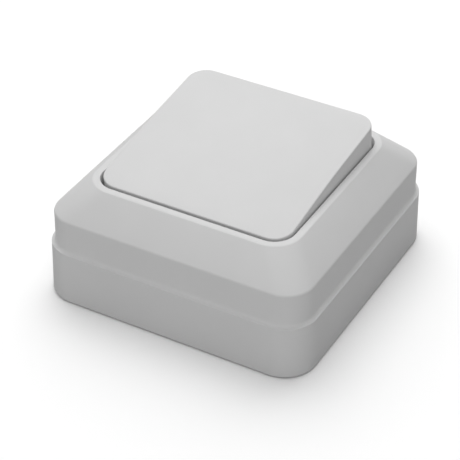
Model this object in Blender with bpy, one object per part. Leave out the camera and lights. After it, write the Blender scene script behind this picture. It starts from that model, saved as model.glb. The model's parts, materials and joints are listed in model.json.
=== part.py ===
"""Surface-mounted rocker light switch, built piece by piece.

The frame stands the switch on its back: the wall face is z = 0, +Z points out
of the wall, X runs along the rocker's pivot and the rocker's -Y edge is the
pressed one. Sizes are in millimetres and become metres when a mesh is made.
"""

import math

import bmesh
import bpy
from mathutils import Matrix, Vector

# Outside form
BODY_WIDTH = 79.5            # square outline at the parting line
BODY_CORNER = 9.25           # corner radius of that outline
BASE_DRAFT = 0.25            # how far the foot of the base stands out per side
BASE_HEIGHT = 15.2           # wall face to the top edge of the base
PARTING_GAP = 0.1            # hairline between base and cover
LEDGE_LIP = 0.3              # upright edge of the cover above the parting line
LEDGE_WIDTH = 1.1            # step from the outline in to the cover's band
BAND_TOP = 25.5              # height where the band turns into the bevel
BAND_FILLET = 1.2
RIM_TOP = 33.5               # height of the flat rim round the window
RIM_INSET = 8.85             # outline to the rim's outer edge
RIM_WIDTH = 2.0
RIM_CORNER = 8.0
RIM_FILLET = 0.4
WINDOW_CORNER = 6.1

# Mouldings
BASE_WALL = 2.0
FLOOR = 2.0
COVER_WALL = 2.6
BEVEL_WALL = 2.2
WELL_WALL = 1.5              # wall that goes down round the window
SPIGOT_DEPTH = 2.5           # cover's tongue inside the base
FLANGE_THICKNESS = 1.6       # cover's inner flange under the rocker
FLANGE_WIDTH = 8.2
FLANGE_CORNER = 3.0

# Fits
CLEARANCE = 0.3              # running and assembly clearance
SEAT_GAP = 0.15              # between flat faces that are clamped together

# Rocker
TILT = 7.3                   # degrees from level to either stop
KEY_SIDE_GAP = 0.5           # key to window along the pivot
KEY_END_GAP = 1.4            # key to window across the pivot, with the key level
KEY_PLATE = 1.8
KEY_WALL = 1.5
KEY_ROOF = 1.6               # degrees that each half falls from the crown
CROWN_BLEND = 6.0            # half width of the soft crown
SKIRT_DEPTH = 6.5            # pivot to the lower edge of the skirt
SKIRT_CLEARANCE = 1.4        # pressed skirt to the flange
PIVOT_BELOW_RIM = 0.1
BEARING_BORE = 1.5           # radius
EAR_WALL = 0.6               # ear material over the bore
KEY_OVER_EAR = 0.35          # ear to the key's underside

# Carrier, plunger and spring
CARRIER_HALF_X = 11.0
CARRIER_HALF_Y = 12.0
CARRIER_SKIN = 0.1           # plate material over and under the trunnions
STEM_WALL = 1.0              # stem material round the plunger's bore
BORE_TOP = 0.0               # pivot to the closed end of the plunger's bore
PLUNGER_RADIUS = 1.9
PLUNGER_REACH = 11.0         # pivot to the plunger's tip
PLUNGER_SHOWN = 3.0          # plunger's tip below the stem
SPRING_ROOM = 5.0            # closed end of the bore to the plunger
SPRING_PLAY = 0.55           # spring to the bore
SPRING_WIRE = 0.25
SPRING_TURNS = 5
PRONG_END_INSET = 3.5        # carrier's end to the prongs, along the pivot
PRONG_SIDE_INSET = 4.5       # carrier's edge to the prongs, across the pivot
PRONG_WIDTH = 4.0
PRONG_THICKNESS = 1.2
PRONG_HOOK = 0.5
PRONG_HOOK_HEIGHT = 1.0
RIB_THICKNESS = 1.2
RIB_INSET = 1.5              # carrier's edge to the end of the ribs on it

# Contacts
BLADE_HALF_Y = 8.5
BLADE_THICKNESS = 0.8
BLADE_EAR = 0.8              # thickness of the ears that straddle the knife
BLADE_EAR_HALF_Y = 1.5
BLADE_EAR_DROP = 1.5
TIP_GAP = 0.45               # plunger tip to the blade at either stop
TIP_INSET = 1.2              # blade's end to its contact rivet
TIP_RADIUS = 1.3
TIP_HEIGHT = 0.6
TIP_SHANK = 0.6
TIP_TAIL_RADIUS = 1.2
TIP_TAIL = 0.3
STRIP_THICKNESS = 0.8
STRIP_HALF_X = 2.0
LEG_GAP = 1.0                # blade's end to the middle of the fixed upright
LEG_TO_WALL = 1.1            # fixed upright to the chamber's wall
LEG_TO_CAP = 1.0             # fixed upright to the end of the cap's opening
TONGUE_EDGE = 1.0            # fixed contact's tongue past its rivet's head
TAIL_INSET = 0.6             # cage's outer end to the end of the strip in it

# Mechanism
TOWER_WALL = 1.6
TOWER_END_LAP = 0.5          # tower end past the carrier's end
EAR_HALF_Y = 6.0
CAP_PLATE = 1.5
CAP_END = 1.6                # rivet head to the end of the cap and the wings
CAP_SIDE = 1.0               # tower to the cap's long edge
CAP_OPENING_X = 6.0
CHAMBER_HALF_X = 8.0
HOUSING_WALL = 2.0
HOUSING_FLOOR = 2.0
WING_HALF_Y = 8.0
WING_THICKNESS = 2.0
REST_POST_WALL = 0.7         # post material beside the strip that passes it
REST_POST_INSET = 2.0        # blade's end to the near face of the rest post
REST_POST_LENGTH = 3.0
RIVET_TO_TOWER = 0.6         # tower to the rivet's head
RIVET_RADIUS = 1.3
RIVET_HEAD = 2.4
RIVET_HEAD_HEIGHT = 0.8

# Terminals
POCKET_WALL = 3.2            # wall between the chamber and a terminal's pocket
CAGE_LENGTH = 8.0
CAGE_HEIGHT = 8.0
CAGE_WALL = 1.2
CAGE_TO_END = 1.0            # outer end of the cage to the housing's end
CLAMP_INSET = 1.0            # cage's end to the clamp plate's
CLAMP_THICKNESS = 0.8
CLAMP_DROP = 1.4             # clamp plate below the cage's roof
TERMINAL_SCREW_RADIUS = 1.25
TERMINAL_SCREW_HEAD = 2.4
TERMINAL_HEAD_HEIGHT = 1.8

# Strap, posts and screws
STRAP_OPENING_LAP = 0.6      # strap opening past the chamber
STRAP_RAIL = 2.4             # strap material beside its opening
STRAP_THICKNESS = 1.0
STRAP_END_CLEARANCE = 1.4
STRAP_CORNER = 3.0
STRAP_DROP = 2.9             # cover's flange to the strap, room for screw heads
STRAP_SCREW_INSET = 4.0      # strap end to its screw
POST_RADIUS = 3.6
SCREW_RADIUS = 1.5
SCREW_HEAD_RADIUS = 2.8
SCREW_HEAD_HEIGHT = 1.8
HEAD_CHAMFER = 0.6
STRAP_SCREW_LENGTH = 9.0
COVER_SCREW_INSET = 4.0      # window edge to the cover screw
COVER_SCREW_LENGTH = 12.0
SLOT_WIDTH = 0.9
SLOT_DEPTH = 0.8

# Holes in the back
WALL_SLOT_INSET = 7.75       # base wall's inner face to the slot's middle
WALL_SLOT_WIDTH = 4.2
WALL_SLOT_LENGTH = 9.0
WALL_SLOT_FLAT = 0.15        # half of the flat left at each end of a slot
CABLE_ENTRY_RADIUS = 8.0
CABLE_ENTRY_INSET = 16.75    # outline to the entry's centre

MM = 0.001
CORNER_STEPS = 8
EDGE_STEPS = 3
LEDGE_STEPS = 4
CROWN_STEPS = 4
NOSE_STEPS = 6
EAR_STEPS = 12
SPRING_STEPS = 16
SPRING_ROUNDING = 2
ROUND_STEPS = 24
SMALL_ROUND_STEPS = 16
OVERCUT = 1.0                # how far a cutter runs past the face that it opens

# Places worked out from the sizes above
BODY_HALF = BODY_WIDTH / 2
BAND_HALF = BODY_HALF - LEDGE_WIDTH
RIM_HALF = BODY_HALF - RIM_INSET
WINDOW_HALF = RIM_HALF - RIM_WIDTH
COVER_BOTTOM = BASE_HEIGHT + PARTING_GAP
LEDGE_TOP = COVER_BOTTOM + LEDGE_LIP
BASE_INNER = BODY_HALF - BASE_WALL
SPIGOT_OUTER = BASE_INNER - CLEARANCE
COVER_INNER = BAND_HALF - COVER_WALL

TILT_SIN = math.sin(math.radians(TILT))
TILT_COS = math.cos(math.radians(TILT))
PIVOT_Z = RIM_TOP - PIVOT_BELOW_RIM
KEY_HALF_X = WINDOW_HALF - KEY_SIDE_GAP
KEY_HALF_Y = WINDOW_HALF - KEY_END_GAP
KEY_CORNER = WINDOW_CORNER - KEY_SIDE_GAP
ROOF_FALL = math.tan(math.radians(KEY_ROOF))
EAR_ROUND = BEARING_BORE + EAR_WALL
TRUNNION_RADIUS = BEARING_BORE - CLEARANCE
CARRIER_HALF_Z = TRUNNION_RADIUS + CARRIER_SKIN
KEY_UNDERSIDE = EAR_ROUND + KEY_OVER_EAR
KEY_EDGE = KEY_UNDERSIDE + KEY_PLATE - (KEY_HALF_Y - CROWN_BLEND / 2) * ROOF_FALL

PLUNGER_BORE = PLUNGER_RADIUS + CLEARANCE
STEM_RADIUS = PLUNGER_BORE + STEM_WALL
STEM_BOTTOM = PLUNGER_REACH - PLUNGER_SHOWN
PLUNGER_TOP = BORE_TOP - SPRING_ROOM
SPRING_RADIUS = PLUNGER_BORE - SPRING_PLAY - SPRING_WIRE
PRONG_X = CARRIER_HALF_X - PRONG_END_INSET
PRONG_Y = CARRIER_HALF_Y - PRONG_SIDE_INSET
RIB_HALF = CARRIER_HALF_Y - RIB_INSET

SKIRT_LOWEST = PIVOT_Z - KEY_HALF_Y * TILT_SIN - SKIRT_DEPTH * TILT_COS
FLANGE_TOP = SKIRT_LOWEST - SKIRT_CLEARANCE
FLANGE_UNDER = FLANGE_TOP - FLANGE_THICKNESS
FLANGE_INNER = WINDOW_HALF - FLANGE_WIDTH

STRAP_TOP = FLANGE_UNDER - STRAP_DROP
STRAP_UNDER = STRAP_TOP - STRAP_THICKNESS
STRAP_HALF_X = COVER_INNER - STRAP_END_CLEARANCE
STRAP_SCREW_X = STRAP_HALF_X - STRAP_SCREW_INSET
HOUSING_TOP = STRAP_UNDER - SEAT_GAP
HOUSING_BOTTOM = FLOOR + CLEARANCE
HOUSING_INNER_FLOOR = HOUSING_BOTTOM + HOUSING_FLOOR
CAP_BOTTOM = STRAP_TOP + SEAT_GAP
CAP_TOP = CAP_BOTTOM + CAP_PLATE
EAR_INNER = CARRIER_HALF_X + CLEARANCE
TOWER_HALF_X = EAR_INNER + TOWER_WALL
TOWER_HALF_Y = CARRIER_HALF_Y + TOWER_END_LAP
TOWER_INNER_Y = TOWER_HALF_Y - TOWER_WALL
TOWER_TOP = PIVOT_Z - CARRIER_HALF_Y * TILT_SIN - CARRIER_HALF_Z * TILT_COS - CLEARANCE
RIVET_X = TOWER_HALF_X + RIVET_TO_TOWER + RIVET_HEAD
CAP_HALF_X = RIVET_X + RIVET_HEAD + CAP_END
CAP_HALF_Y = TOWER_HALF_Y + CAP_SIDE
HOUSING_HALF_X = CHAMBER_HALF_X + HOUSING_WALL

# The plunger's tip runs on an arc about the pivot and the blade rocks on the
# knife by the same angle, so the tip clears the blade by TIP_GAP at the stops.
TIP_DROP = PLUNGER_REACH * (TILT_COS ** 2 - TILT_SIN ** 2)
FULCRUM_Z = PIVOT_Z - (TIP_GAP + BLADE_THICKNESS + TIP_DROP) / TILT_COS
TIP_Y = BLADE_HALF_Y - TIP_INSET
TIP_LOW = SEAT_GAP + TIP_HEIGHT
CLOSED_TIP_Z = FULCRUM_Z - (TIP_Y + TIP_RADIUS) * TILT_SIN - TIP_LOW * TILT_COS
FIXED_TIP_TOP = CLOSED_TIP_Z - CLEARANCE
FIXED_STRIP_TOP = FIXED_TIP_TOP - TIP_LOW
FIXED_LEG_Y = BLADE_HALF_Y + LEG_GAP
STRIP_ROOM = STRIP_HALF_X + CLEARANCE
BLADE_HALF_X = STRIP_ROOM + BLADE_EAR

LEG_OUTER_Y = FIXED_LEG_Y + STRIP_THICKNESS / 2
CHAMBER_HALF_Y = LEG_OUTER_Y + LEG_TO_WALL
CAP_OPENING_Y = LEG_OUTER_Y + LEG_TO_CAP
STRAP_OPENING_X = CHAMBER_HALF_X + STRAP_OPENING_LAP
STRAP_OPENING_Y = CHAMBER_HALF_Y + STRAP_OPENING_LAP
STRAP_HALF_Y = STRAP_OPENING_Y + STRAP_RAIL
REST_POST_HALF_X = STRIP_ROOM + REST_POST_WALL
REST_POST_Y = BLADE_HALF_Y - REST_POST_INSET
CAGE_HALF_X = STRIP_ROOM + CAGE_WALL
POCKET_START = CHAMBER_HALF_Y + POCKET_WALL
CAGE_START = POCKET_START + CLEARANCE
CAGE_END = CAGE_START + CAGE_LENGTH
CAGE_MIDDLE = (CAGE_START + CAGE_END) / 2
HOUSING_HALF_Y = CAGE_END + CAGE_TO_END
CAGE_BOTTOM = HOUSING_INNER_FLOOR + CLEARANCE
CAGE_TOP = CAGE_BOTTOM + CAGE_HEIGHT
TAIL_BOTTOM = CAGE_BOTTOM + CAGE_WALL + CLEARANCE
TAIL_TOP = TAIL_BOTTOM + STRIP_THICKNESS
CLAMP_TOP = CAGE_TOP - CAGE_WALL - CLAMP_DROP

COVER_SCREW = WINDOW_HALF - COVER_SCREW_INSET
WALL_SLOT_Y = BASE_INNER - WALL_SLOT_INSET
CABLE_ENTRY = BODY_HALF - CABLE_ENTRY_INSET

# Finishes: linear base colour, roughness, metallic
WHITE_PLASTIC = ((0.78, 0.78, 0.78), 0.45, 0.0)
GREY_PLASTIC = ((0.55, 0.55, 0.56), 0.5, 0.0)
DARK_PLASTIC = ((0.07, 0.07, 0.075), 0.5, 0.0)
PLATED_STEEL = ((0.62, 0.62, 0.6), 0.35, 1.0)
BRASS = ((0.72, 0.5, 0.2), 0.3, 1.0)
SILVER = ((0.85, 0.85, 0.83), 0.25, 1.0)


# Helpers
def clear_scene():
    """Remove whatever the opened file holds."""
    for obj in list(bpy.data.objects):
        bpy.data.objects.remove(obj)


def link(name, data, parent):
    """Make an object of some data, under an optional parent."""
    obj = bpy.data.objects.new(name, data)
    bpy.context.scene.collection.objects.link(obj)
    obj.parent = parent
    return obj


def solid(name, bm, parent=None):
    """Turn a bmesh in millimetres into an object in metres."""
    bmesh.ops.recalc_face_normals(bm, faces=bm.faces)
    bmesh.ops.scale(bm, vec=(MM, MM, MM), verts=bm.verts)
    mesh = bpy.data.meshes.new(name)
    bm.to_mesh(mesh)
    bm.free()
    return link(name, mesh, parent)


def pivot_frame(name, height, degrees):
    """An empty on a joint's axis, turned about X by some degrees."""
    frame = link(name, None, None)
    frame.location = (0.0, 0.0, height * MM)
    frame.rotation_euler = (math.radians(degrees), 0.0, 0.0)
    return frame


def rounded_outline(half_x, half_y, radius):
    """Points of a rectangle with round corners, anticlockwise."""
    points = []
    for number, (side_x, side_y) in enumerate(((1, 1), (-1, 1), (-1, -1), (1, -1))):
        for step in range(CORNER_STEPS + 1):
            angle = math.radians(90 * number + 90 * step / CORNER_STEPS)
            x = side_x * (half_x - radius) + radius * math.cos(angle)
            y = side_y * (half_y - radius) + radius * math.sin(angle)
            points.append((x, y))
    return points


def stack(name, sections, ring=False, parent=None):
    """Join outlines (points, z) into one skin, capped or closed into a ring."""
    bm = bmesh.new()
    rows = [[bm.verts.new((x, y, z)) for x, y in points] for points, z in sections]
    pairs = list(zip(rows, rows[1:]))
    if ring:
        pairs.append((rows[-1], rows[0]))
    else:
        bm.faces.new(rows[0])
        bm.faces.new(rows[-1])
    for low, high in pairs:
        for first in range(len(low)):
            second = (first + 1) % len(low)
            bm.faces.new((low[first], low[second], high[second], high[first]))
    return solid(name, bm, parent)


def slab(name, outline, low, high, parent=None):
    """A straight prism between two heights."""
    return stack(name, ((outline, low), (outline, high)), parent=parent)


def box(name, low, high, parent=None):
    """A rectangular block between two corners."""
    bm = bmesh.new()
    size = [high[axis] - low[axis] for axis in range(3)]
    middle = [(high[axis] + low[axis]) / 2 for axis in range(3)]
    place = Matrix.Translation(middle) @ Matrix.Diagonal((*size, 1.0))
    bmesh.ops.create_cube(bm, size=1.0, matrix=place)
    return solid(name, bm, parent)


def rod(name, radius, start, end, steps=ROUND_STEPS, parent=None):
    """A round bar from one point to another."""
    bm = bmesh.new()
    along = Vector(end) - Vector(start)
    turn = along.to_track_quat("Z", "Y").to_matrix().to_4x4()
    place = Matrix.Translation((Vector(start) + Vector(end)) / 2) @ turn
    bmesh.ops.create_cone(bm, cap_ends=True, segments=steps, radius1=radius,
                          radius2=radius, depth=along.length, matrix=place)
    return solid(name, bm, parent)


def turned(name, profile, x=0.0, y=0.0, steps=ROUND_STEPS, parent=None):
    """Spin a profile of (radius, z), with both ends on the axis, about Z."""
    bm = bmesh.new()
    points = [bm.verts.new((radius, 0.0, z)) for radius, z in profile]
    edges = [bm.edges.new(pair) for pair in zip(points, points[1:])]
    bmesh.ops.spin(bm, geom=points + edges, cent=(0, 0, 0), axis=(0, 0, 1),
                   angle=2 * math.pi, steps=steps, use_merge=True)
    bmesh.ops.remove_doubles(bm, verts=bm.verts, dist=1e-5)
    bmesh.ops.translate(bm, vec=(x, y, 0.0), verts=bm.verts)
    return solid(name, bm, parent)


def side_profile(name, points, low_x, high_x, parent=None):
    """A (y, z) outline carried along X."""
    bm = bmesh.new()
    near = [bm.verts.new((low_x, y, z)) for y, z in points]
    face = bm.faces.new(near)
    made = bmesh.ops.extrude_face_region(bm, geom=[face])["geom"]
    moved = [item for item in made if isinstance(item, bmesh.types.BMVert)]
    bmesh.ops.translate(bm, vec=(high_x - low_x, 0.0, 0.0), verts=moved)
    return solid(name, bm, parent)


def rounded_corner(before, corner, after, radius):
    """Arc points that round one corner of a profile of (x, z) points."""
    corner = Vector(corner)
    back = (Vector(before) - corner).normalized()
    ahead = (Vector(after) - corner).normalized()
    half_angle = math.acos(max(-1.0, min(1.0, back.dot(ahead)))) / 2
    centre = corner + (back + ahead).normalized() * radius / math.sin(half_angle)
    start = corner + back * radius / math.tan(half_angle) - centre
    end = corner + ahead * radius / math.tan(half_angle) - centre
    points = []
    for step in range(EDGE_STEPS + 1):
        spoke = start.lerp(end, step / EDGE_STEPS).normalized() * radius
        points.append(tuple(centre + spoke))
    return points


def combine(target, tool, operation):
    """Join, cut or intersect a piece with a hidden tool object."""
    tool.hide_render = True
    tool.display_type = "WIRE"
    modifier = target.modifiers.new(tool.name, "BOOLEAN")
    modifier.operation = operation
    modifier.solver = "EXACT"
    modifier.object = tool


def join(target, tool):
    """Mould a tool's shape onto a piece."""
    combine(target, tool, "UNION")


def cut(target, tool):
    """Take a tool's shape out of a piece."""
    combine(target, tool, "DIFFERENCE")


def finish(obj, look):
    """Give a piece its own material."""
    colour, roughness, metallic = look
    material = bpy.data.materials.new(obj.name)
    material.use_nodes = True
    shader = material.node_tree.nodes["Principled BSDF"]
    shader.inputs["Base Color"].default_value = (*colour, 1.0)
    shader.inputs["Roughness"].default_value = roughness
    shader.inputs["Metallic"].default_value = metallic
    obj.data.materials.append(material)
    return obj


def screw(name, x, y, seat, length, radius, head_radius, head_height):
    """A slotted pan-head screw whose head stands on a seat."""
    under_head = seat + SEAT_GAP
    top = under_head + head_height
    profile = (
        (0.0, seat - length),
        (radius / 2, seat - length),
        (radius, seat - length + radius),
        (radius, under_head),
        (head_radius, under_head),
        (head_radius, top - HEAD_CHAMFER),
        (head_radius - HEAD_CHAMFER, top),
        (0.0, top),
    )
    obj = turned(name, profile, x, y, SMALL_ROUND_STEPS)
    slot_low = (x - head_radius - OVERCUT, y - SLOT_WIDTH / 2, top - SLOT_DEPTH)
    slot_high = (x + head_radius + OVERCUT, y + SLOT_WIDTH / 2, top + OVERCUT)
    cut(obj, box(name + "_slot", slot_low, slot_high))
    return finish(obj, PLATED_STEEL)


# Enclosure
def make_base():
    """The box that is screwed to the wall, with its posts and rear holes."""
    inner_corner = BODY_CORNER - BASE_WALL
    foot = BODY_HALF + BASE_DRAFT
    base = stack("base_box", (
        (rounded_outline(foot, foot, BODY_CORNER + BASE_DRAFT), 0.0),
        (rounded_outline(BODY_HALF, BODY_HALF, BODY_CORNER), BASE_HEIGHT),
        (rounded_outline(BASE_INNER, BASE_INNER, inner_corner), BASE_HEIGHT),
        (rounded_outline(BASE_INNER, BASE_INNER, inner_corner), FLOOR),
    ))
    strap_post_top = STRAP_UNDER - SEAT_GAP
    cover_post_top = FLANGE_UNDER - CLEARANCE
    posts = (
        ("strap_post_right", STRAP_SCREW_X, 0.0, strap_post_top,
         STRAP_TOP - STRAP_SCREW_LENGTH),
        ("strap_post_left", -STRAP_SCREW_X, 0.0, strap_post_top,
         STRAP_TOP - STRAP_SCREW_LENGTH),
        ("cover_post_far", COVER_SCREW, COVER_SCREW, cover_post_top,
         FLANGE_TOP - COVER_SCREW_LENGTH),
        ("cover_post_near", -COVER_SCREW, -COVER_SCREW, cover_post_top,
         FLANGE_TOP - COVER_SCREW_LENGTH),
    )
    for name, x, y, top, screw_tip in posts:
        join(base, rod(name, POST_RADIUS, (x, y, FLOOR / 2), (x, y, top)))
        bore = SCREW_RADIUS + CLEARANCE
        bottom = screw_tip - CLEARANCE
        cut(base, rod(name + "_bore", bore, (x, y, bottom), (x, y, top + OVERCUT),
                      SMALL_ROUND_STEPS))
    for side in (-1, 1):
        slot = rounded_outline(WALL_SLOT_LENGTH / 2, WALL_SLOT_WIDTH / 2,
                               WALL_SLOT_WIDTH / 2 - WALL_SLOT_FLAT)
        placed = [(x, y + side * WALL_SLOT_Y) for x, y in slot]
        cut(base, slab("wall_slot", placed, -OVERCUT, FLOOR + OVERCUT))
    cut(base, rod("cable_entry", CABLE_ENTRY_RADIUS,
                  (-CABLE_ENTRY, CABLE_ENTRY, -OVERCUT),
                  (-CABLE_ENTRY, CABLE_ENTRY, FLOOR + OVERCUT)))
    return finish(base, WHITE_PLASTIC)


def cover_screw_sizes(grow):
    """Head radius, shank radius and foot of the cone; grow gives its hole's."""
    head = SCREW_HEAD_RADIUS + grow
    shank = SCREW_RADIUS + grow
    cone_bottom = FLANGE_TOP - (SCREW_HEAD_RADIUS - SCREW_RADIUS)
    return head, shank, cone_bottom


def make_cover():
    """The upper shell: band, bevel, rim, window well and inner flange."""
    band_corner = BODY_CORNER - LEDGE_WIDTH
    inner_corner = band_corner - COVER_WALL
    well = WINDOW_HALF + WELL_WALL
    well_corner = WINDOW_CORNER + WELL_WALL
    bevel_rise = (RIM_TOP - BAND_TOP) / (BAND_HALF - RIM_HALF)
    bevel_drop = BEVEL_WALL * math.hypot(1.0, bevel_rise)

    def bevel_inner(half):
        """Height of the bevel's inner face at a half width."""
        return BAND_TOP + (BAND_HALF - half) * bevel_rise - bevel_drop

    def corner_at(half):
        """Corner radius of the bevel, from the band's to the rim's."""
        share = (BAND_HALF - half) / (BAND_HALF - RIM_HALF)
        share = max(0.0, min(1.0, share))
        return band_corner + (RIM_CORNER - band_corner) * share

    rows = [(BODY_HALF, BODY_CORNER, COVER_BOTTOM)]
    for step in range(LEDGE_STEPS + 1):
        angle = math.radians(90 * step / LEDGE_STEPS)
        inset = LEDGE_WIDTH * math.sin(angle)
        height = LEDGE_TOP + LEDGE_WIDTH * (1 - math.cos(angle))
        rows.append((BODY_HALF - inset, BODY_CORNER - inset, height))
    band_edge = rounded_corner((BAND_HALF, LEDGE_TOP), (BAND_HALF, BAND_TOP),
                               (RIM_HALF, RIM_TOP), BAND_FILLET)
    rows += [(half, corner_at(half), z) for half, z in band_edge]
    rim_edge = rounded_corner((BAND_HALF, BAND_TOP), (RIM_HALF, RIM_TOP),
                              (WINDOW_HALF, RIM_TOP), RIM_FILLET)
    rows += [(half, corner_at(half), z) for half, z in rim_edge]
    rows += [
        (WINDOW_HALF, WINDOW_CORNER, RIM_TOP),
        (WINDOW_HALF, WINDOW_CORNER, FLANGE_TOP),
        (FLANGE_INNER, FLANGE_CORNER, FLANGE_TOP),
        (FLANGE_INNER, FLANGE_CORNER, FLANGE_UNDER),
        (well, well_corner, FLANGE_UNDER),
        (well, well_corner, bevel_inner(well)),
        (COVER_INNER, inner_corner, bevel_inner(COVER_INNER)),
        (COVER_INNER, inner_corner, COVER_BOTTOM - SPIGOT_DEPTH),
        (SPIGOT_OUTER, BODY_CORNER - BASE_WALL - CLEARANCE, COVER_BOTTOM - SPIGOT_DEPTH),
        (SPIGOT_OUTER, BODY_CORNER - BASE_WALL - CLEARANCE, COVER_BOTTOM),
    ]
    cover = stack("cover_frame",
                  [(rounded_outline(half, half, corner), z) for half, corner, z in rows],
                  ring=True)
    head, shank, cone_bottom = cover_screw_sizes(SEAT_GAP)
    for name, side in (("far", 1), ("near", -1)):
        profile = (
            (0.0, FLANGE_UNDER - OVERCUT),
            (shank, FLANGE_UNDER - OVERCUT),
            (shank, cone_bottom),
            (head, FLANGE_TOP),
            (head, FLANGE_TOP + OVERCUT),
            (0.0, FLANGE_TOP + OVERCUT),
        )
        cut(cover, turned("cover_hole_" + name, profile, side * COVER_SCREW,
                          side * COVER_SCREW, SMALL_ROUND_STEPS))
    return finish(cover, WHITE_PLASTIC)


def make_cover_screw(name, side):
    """A countersunk screw through the cover's flange into a base post."""
    head, shank, cone_bottom = cover_screw_sizes(0.0)
    tip = FLANGE_TOP - COVER_SCREW_LENGTH
    profile = (
        (0.0, tip),
        (shank / 2, tip),
        (shank, tip + shank),
        (shank, cone_bottom),
        (head, FLANGE_TOP),
        (0.0, FLANGE_TOP),
    )
    place = side * COVER_SCREW
    obj = turned(name, profile, place, place, SMALL_ROUND_STEPS)
    slot_low = (place - head - OVERCUT, place - SLOT_WIDTH / 2, FLANGE_TOP - SLOT_DEPTH)
    slot_high = (place + head + OVERCUT, place + SLOT_WIDTH / 2, FLANGE_TOP + OVERCUT)
    cut(obj, box(name + "_slot", slot_low, slot_high))
    return finish(obj, PLATED_STEEL)


# Rocker
def roof_height(y):
    """Height of the key's top over the pivot, falling both ways from a crown."""
    if abs(y) < CROWN_BLEND:
        run = KEY_HALF_Y - CROWN_BLEND / 2 - y * y / (2 * CROWN_BLEND)
    else:
        run = KEY_HALF_Y - abs(y)
    return KEY_EDGE + run * ROOF_FALL


def roof_tool(name, below, parent):
    """All the space under the key's top, lowered by some thickness."""
    reach = KEY_HALF_Y + OVERCUT
    steps = range(-CROWN_STEPS, CROWN_STEPS + 1)
    blend = [CROWN_BLEND * step / CROWN_STEPS for step in steps]
    tops = [(y, roof_height(y) - below) for y in (-reach, *blend, reach)]
    bottom = -SKIRT_DEPTH - 2 * OVERCUT
    outline = [(-reach, bottom)] + tops + [(reach, bottom)]
    side = KEY_HALF_X + OVERCUT
    return side_profile(name, outline, -side, side, parent)


def make_key(frame):
    """The wide key: crowned plate, skirts, ribs and clip prongs."""
    outline = rounded_outline(KEY_HALF_X, KEY_HALF_Y, KEY_CORNER)
    tall = KEY_UNDERSIDE + KEY_PLATE + OVERCUT
    key = slab("rocker_key", outline, -SKIRT_DEPTH, tall, frame)
    combine(key, roof_tool("key_roof", 0.0, frame), "INTERSECT")
    hollow_outline = rounded_outline(KEY_HALF_X - KEY_WALL, KEY_HALF_Y - KEY_WALL,
                                     KEY_CORNER - KEY_WALL)
    hollow = slab("key_hollow", hollow_outline, -SKIRT_DEPTH - OVERCUT, tall, frame)
    combine(hollow, roof_tool("hollow_roof", KEY_PLATE, frame), "INTERSECT")
    cut(key, hollow)
    plate_inside = KEY_EDGE
    rib_low = CARRIER_HALF_Z + SEAT_GAP
    for side_x in (-1, 1):
        x = side_x * PRONG_X
        join(key, box("key_rib", (x - RIB_THICKNESS / 2, -RIB_HALF, rib_low),
                      (x + RIB_THICKNESS / 2, RIB_HALF, plate_inside), frame))
        for side_y in (-1, 1):
            join(key, make_prong(x, side_y, plate_inside, frame))
    return finish(key, WHITE_PLASTIC)


def make_prong(x, side, top, frame):
    """One clip prong with its hook under the carrier."""
    inner = PRONG_Y - PRONG_THICKNESS / 2
    outer = PRONG_Y + PRONG_THICKNESS / 2
    catch = -CARRIER_HALF_Z - CLEARANCE
    points = [
        (inner, top),
        (outer, top),
        (outer, catch),
        (outer + PRONG_HOOK, catch),
        (outer, catch - PRONG_HOOK_HEIGHT),
        (inner, catch - PRONG_HOOK_HEIGHT),
    ]
    placed = [(side * y, z) for y, z in points]
    return side_profile("key_prong", placed, x - PRONG_WIDTH / 2, x + PRONG_WIDTH / 2,
                        frame)


def make_carrier(frame):
    """The inner rocker: plate, trunnions and the plunger's stem."""
    carrier = box("rocker_carrier",
                  (-CARRIER_HALF_X, -CARRIER_HALF_Y, -CARRIER_HALF_Z),
                  (CARRIER_HALF_X, CARRIER_HALF_Y, CARRIER_HALF_Z), frame)
    for side in (-1, 1):
        join(carrier, rod("trunnion", TRUNNION_RADIUS,
                          (side * (CARRIER_HALF_X - OVERCUT), 0.0, 0.0),
                          (side * (TOWER_HALF_X - CLEARANCE), 0.0, 0.0),
                          SMALL_ROUND_STEPS, frame))
    join(carrier, rod("stem", STEM_RADIUS, (0.0, 0.0, -STEM_BOTTOM),
                      (0.0, 0.0, -CARRIER_HALF_Z / 2), parent=frame))
    cut(carrier, rod("plunger_bore", PLUNGER_BORE, (0.0, 0.0, -STEM_BOTTOM - OVERCUT),
                     (0.0, 0.0, BORE_TOP), parent=frame))
    slot_x = PRONG_WIDTH / 2 + CLEARANCE
    slot_y = PRONG_THICKNESS / 2 + CLEARANCE
    for x in (-PRONG_X, PRONG_X):
        for y in (-PRONG_Y, PRONG_Y):
            cut(carrier, box("prong_slot",
                             (x - slot_x, y - slot_y, -CARRIER_HALF_Z - OVERCUT),
                             (x + slot_x, y + slot_y, CARRIER_HALF_Z + OVERCUT), frame))
    return finish(carrier, GREY_PLASTIC)


def make_plunger(frame):
    """The sliding pin with a round nose that rides on the blade."""
    profile = [(0.0, -PLUNGER_REACH)]
    for step in range(1, NOSE_STEPS + 1):
        angle = math.radians(90 * step / NOSE_STEPS)
        profile.append((PLUNGER_RADIUS * math.sin(angle),
                        -PLUNGER_REACH + PLUNGER_RADIUS * (1 - math.cos(angle))))
    profile += [(PLUNGER_RADIUS, PLUNGER_TOP), (0.0, PLUNGER_TOP)]
    return finish(turned("plunger", profile, parent=frame), DARK_PLASTIC)


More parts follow.
